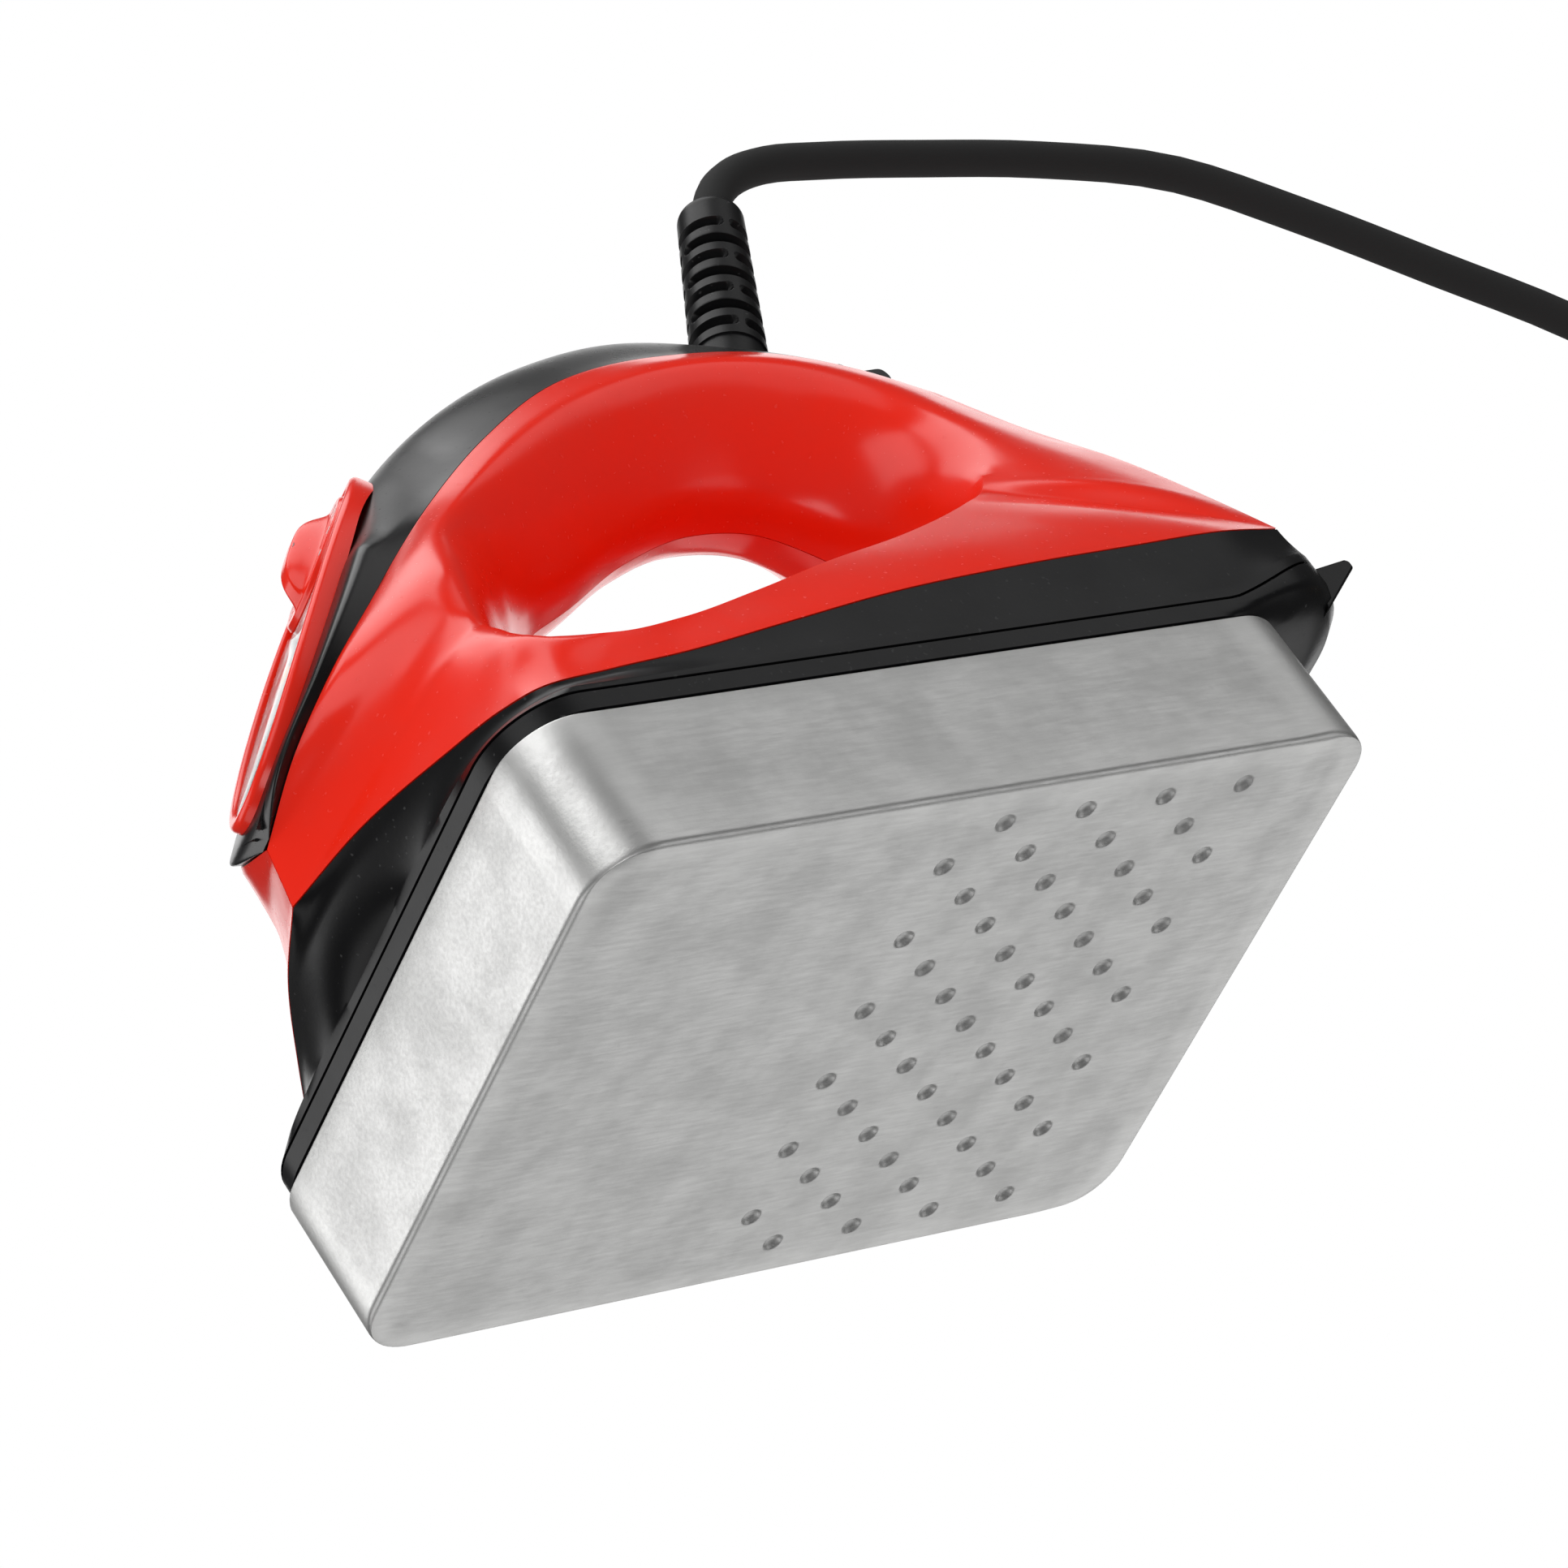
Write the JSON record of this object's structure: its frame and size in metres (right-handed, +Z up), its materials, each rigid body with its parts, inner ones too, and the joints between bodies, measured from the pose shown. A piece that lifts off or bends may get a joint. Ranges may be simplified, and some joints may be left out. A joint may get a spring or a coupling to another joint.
{
  "type": "waxing iron",
  "caption": "Electric iron for melting wax onto skis and snowboards, with a flat metal sole plate, a hollow handle, a heat dial, a rocker switch and a mains cord.",
  "frame": {"origin": "centre of the sole plate's underside", "axes": "+X towards the heel and the cord, -X towards the dial, +Z up from the sole"},
  "size_m": [0.424, 0.1773, 0.1973],
  "materials": {
    "red_shell": "glossy moulded plastic",
    "black_body": "satin moulded plastic",
    "plate_metal": "milled and worn",
    "plated_steel": "zinc plated",
    "ceramic": "unglazed ceramic",
    "clear_panel": "polished",
    "black_part": "satin",
    "shaft_steel": "turned",
    "circuit_board": "lacquered laminate",
    "lamp_lens": "clear amber",
    "switch_plastic": "satin",
    "brass": "nickel-free bright",
    "cord_rubber": "matt rubber",
    "lead_sleeve": "woven sleeve"
  },
  "bodies": {
    "iron": {"left_shell": "red_shell", "right_shell": "red_shell", "rear_cover": "red_shell", "dial_bezel": "red_shell", "base_housing": "black_body", "base_ring": "black_body", "spine_cover": "black_body", "sole_plate": "plate_metal", "heating_element": "plated_steel", "element_clamp": "plated_steel", "element_screw": "plated_steel", "heat_shield": "plated_steel", "chassis_plate": "plated_steel", "plate_screw_1": "plated_steel", "plate_screw_2": "plated_steel", "plate_screw_3": "plated_steel", "plate_screw_4": "plated_steel", "board_screw_1": "plated_steel", "board_screw_2": "plated_steel", "heat_spacer_1": "ceramic", "heat_spacer_2": "ceramic", "heat_spacer_3": "ceramic", "heat_spacer_4": "ceramic", "temperature_sensor": "ceramic", "thermal_fuse": "ceramic", "terminal_block": "ceramic", "dial_panel": "clear_panel", "potentiometer": "black_part", "board_spacer_1": "black_part", "board_spacer_2": "black_part", "cord_clamp": "black_part", "control_board": "circuit_board", "indicator_lamp": "lamp_lens", "switch_body": "switch_plastic", "switch_blade_1": "brass", "switch_blade_2": "brass", "plug_pin_1": "brass", "plug_pin_2": "brass", "plug_earth_clip_1": "brass", "plug_earth_clip_2": "brass", "strain_relief": "cord_rubber", "cord_inside": "cord_rubber", "power_cord": "cord_rubber", "cord_coil": "cord_rubber", "cord_tail": "cord_rubber", "plug_body": "cord_rubber", "supply_lead": "lead_sleeve", "board_lead": "lead_sleeve", "element_lead_1": "lead_sleeve", "element_lead_2": "lead_sleeve"},
    "knob": {"temperature_knob": "red_shell", "potentiometer_shaft": "shaft_steel"},
    "rocker": {"switch_rocker": "switch_plastic"}
  },
  "joints": [
    {"name": "temperature_dial", "type": "hinge", "parent": "iron", "child": "knob", "pos_m": [-0.038, 0, 0.11102], "axis": [-0.7559, 0, 0.6547], "range_deg": [-135, 135]},
    {"name": "power_switch", "type": "hinge", "parent": "iron", "child": "rocker", "pos_m": [0.08492, 0, 0.13517], "axis": [0, 1, 0], "range_deg": [0, 15]}
  ]
}
